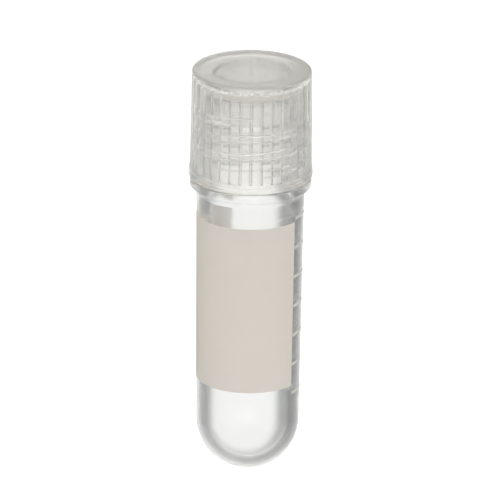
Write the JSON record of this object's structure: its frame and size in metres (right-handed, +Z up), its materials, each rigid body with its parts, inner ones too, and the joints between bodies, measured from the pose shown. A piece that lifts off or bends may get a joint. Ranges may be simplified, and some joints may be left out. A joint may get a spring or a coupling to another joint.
{
  "type": "cryovial",
  "caption": "Round-bottomed plastic cryogenic vial with an external thread, a ribbed screw cap with a sealing washer, a printed writing panel and graduation marks.",
  "frame": {"origin": "on the ground under the middle of the vial as it lies on its side", "axes": "+Y along the vial towards its cap, level with the ground; +Z up, the way the printed side faces; +X to the right of the print"},
  "size_m": [0.0144, 0.0492, 0.0146],
  "materials": {
    "tube_plastic": "natural polypropylene, glossy and clear with a faint haze",
    "cap_plastic": "natural polypropylene, milky",
    "washer_silicone": "translucent silicone, satin",
    "panel_ink": "matte warm-white printing ink that can be written on",
    "mark_ink": "matte white printing ink"
  },
  "bodies": {
    "vial": {"vial_body": "tube_plastic", "writing_panel": "panel_ink", "graduation_marks": "mark_ink"},
    "washer": {"sealing_washer": "washer_silicone"},
    "cap": {"screw_cap": "cap_plastic"}
  },
  "joints": [
    {"name": "cap_lift", "type": "slide", "parent": "vial", "child": "washer", "axis": [0, 0.9992, 0.0399], "range_m": [0, 0.0129]},
    {"name": "cap_turn", "type": "hinge", "parent": "washer", "child": "cap", "pos_m": [0, 0.02435, 0.00769], "axis": [0, 0.9992, 0.0399], "range_deg": [0, 2160]}
  ],
  "couplings": [
    {"joint": "cap_turn", "follows": "cap_lift", "rad_per_m": 2922.4}
  ]
}
